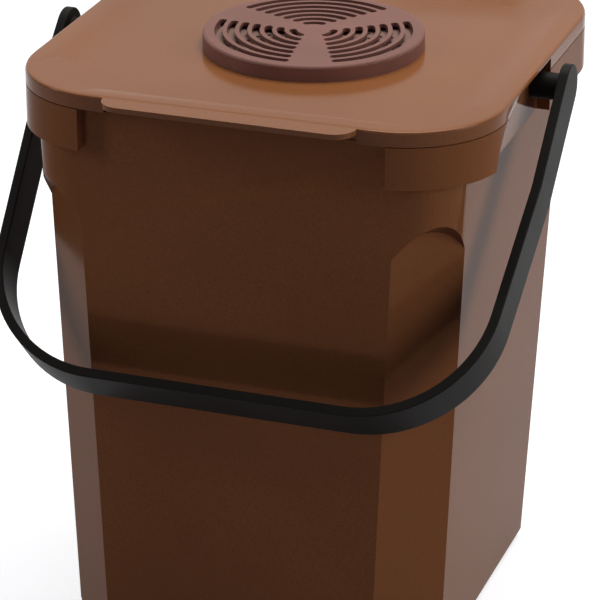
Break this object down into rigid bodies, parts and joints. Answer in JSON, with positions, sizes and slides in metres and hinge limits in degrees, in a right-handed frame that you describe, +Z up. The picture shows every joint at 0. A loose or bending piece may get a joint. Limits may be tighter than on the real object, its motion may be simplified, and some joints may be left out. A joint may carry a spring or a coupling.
{
  "type": "compost caddy",
  "caption": "Tapered kitchen compost caddy with a hinged dished lid, a vented filter cap and a swinging bail handle.",
  "frame": {"origin": "on the flat underside of the bucket, straight below the middle of the handle's axis", "axes": "+X to the right as seen from the front, +Y to the back where the hinge is, +Z up"},
  "size_m": [0.2608, 0.267, 0.2892],
  "materials": {
    "bucket_plastic": "gloss",
    "lid_plastic": "satin",
    "cap_plastic": "matte",
    "grid_plastic": "matte",
    "filter_foam": "open foam",
    "handle_plastic": "satin",
    "pin_plastic": "satin"
  },
  "bodies": {
    "bucket": {"bucket": "bucket_plastic", "hinge_pin_left": "pin_plastic", "hinge_pin_right": "pin_plastic"},
    "lid": {"lid": "lid_plastic"},
    "vent": {"vent_cap": "cap_plastic", "filter_grid": "grid_plastic", "carbon_filter": "filter_foam"},
    "handle": {"handle": "handle_plastic"}
  },
  "joints": [
    {"name": "lid_hinge", "type": "hinge", "parent": "bucket", "child": "lid", "pos_m": [0, 0.1205, 0.2813], "axis": [-1, 0, 0], "range_deg": [0, 105]},
    {"name": "handle_swing", "type": "hinge", "parent": "bucket", "child": "handle", "pos_m": [0, 0, 0.2756], "axis": [-1, 0, 0], "range_deg": [-4, 274]},
    {"name": "vent_lift", "type": "slide", "parent": "lid", "child": "vent", "axis": [0, 0, 1], "range_m": [0, 0.06]}
  ]
}
